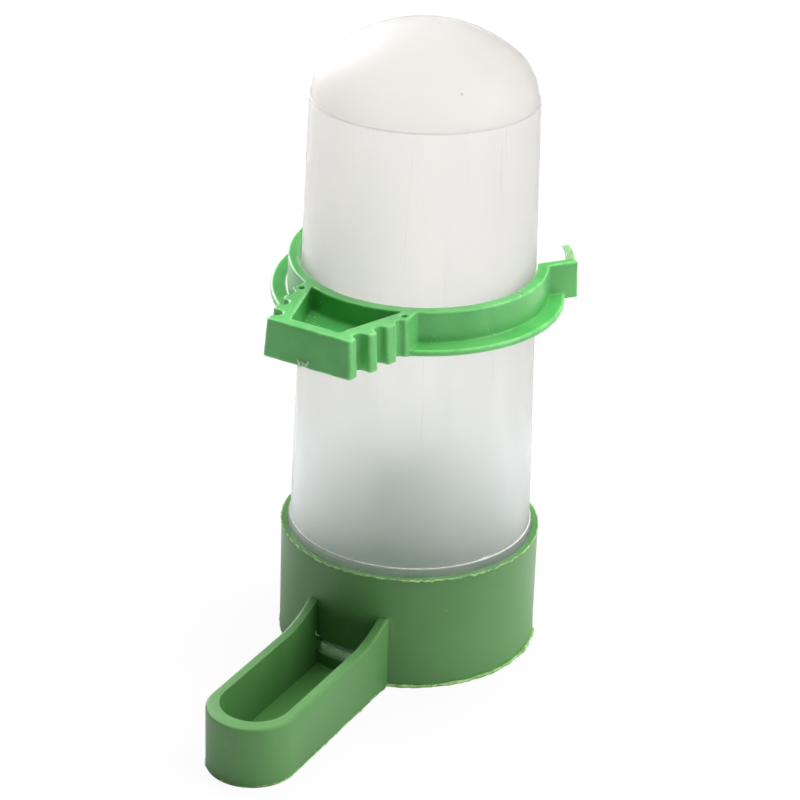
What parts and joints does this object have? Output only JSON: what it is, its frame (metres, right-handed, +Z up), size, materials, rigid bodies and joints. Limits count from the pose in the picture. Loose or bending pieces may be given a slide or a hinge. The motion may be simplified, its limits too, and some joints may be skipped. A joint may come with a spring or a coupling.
{
  "type": "cage bird drinker",
  "caption": "Small cage-bird drinker: domed bottle standing mouth-down in a green cup with a long open trough, held by an open clip ring with a grooved block for cage wires.",
  "frame": {"origin": "on the bottle's axis, at the underside of the cup", "axes": "+Z up along the bottle's axis; the trough points along -Y; +X to the right of the trough"},
  "size_m": [0.0643, 0.1008, 0.1351],
  "materials": {
    "base_plastic": "dull sage green moulded polypropylene, fine satin skin",
    "bottle_plastic": "milky translucent polypropylene, satin body and glossier dome",
    "clip_plastic": "brighter green moulded polypropylene, semi-gloss"
  },
  "bodies": {
    "base": {"base_cup": "base_plastic"},
    "bottle": {"reservoir_tube": "bottle_plastic"},
    "clip": {"cage_clip": "clip_plastic"}
  },
  "joints": [
    {"name": "bottle_lift", "type": "slide", "parent": "base", "child": "bottle", "axis": [0, 0, 1], "range_m": [0, 0.035]},
    {"name": "clip_slide", "type": "slide", "parent": "bottle", "child": "clip", "axis": [0, 0, 1], "range_m": [0, 0.065]}
  ]
}
